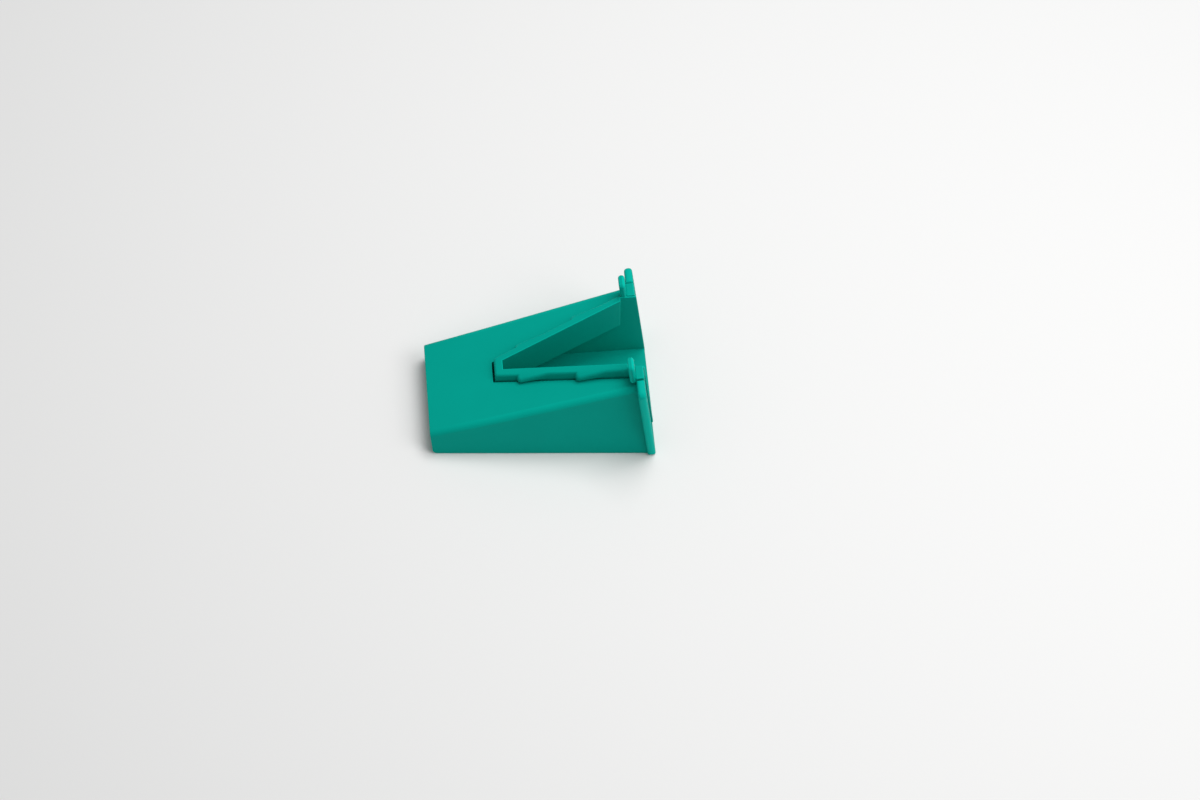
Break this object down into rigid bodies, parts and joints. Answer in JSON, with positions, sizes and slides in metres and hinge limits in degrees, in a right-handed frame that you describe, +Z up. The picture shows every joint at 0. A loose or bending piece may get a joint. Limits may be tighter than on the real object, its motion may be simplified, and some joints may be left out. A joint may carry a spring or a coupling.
{
  "type": "fabric tube maker",
  "caption": "Moulded plastic sewing funnel that folds a strip of fabric and wadding into a flat tube, with a removable V-shaped folding guide sliding in its slotted top.",
  "frame": {"origin": "middle of the bounding box on the base, which is Z = 0", "axes": "+X from the narrow outlet towards the wide intake, +Y across the tool, +Z up"},
  "size_m": [0.0686, 0.0498, 0.0362],
  "materials": {
    "funnel_plastic": "satin moulded teal plastic",
    "guide_plastic": "satin moulded teal plastic"
  },
  "bodies": {
    "funnel": {"funnel_body": "funnel_plastic"},
    "guide": {"folding_guide": "guide_plastic"}
  },
  "joints": [
    {"name": "guide_slide", "type": "slide", "parent": "funnel", "child": "guide", "axis": [0.9566, 0, 0.2914], "range_m": [0, 0.05]}
  ]
}
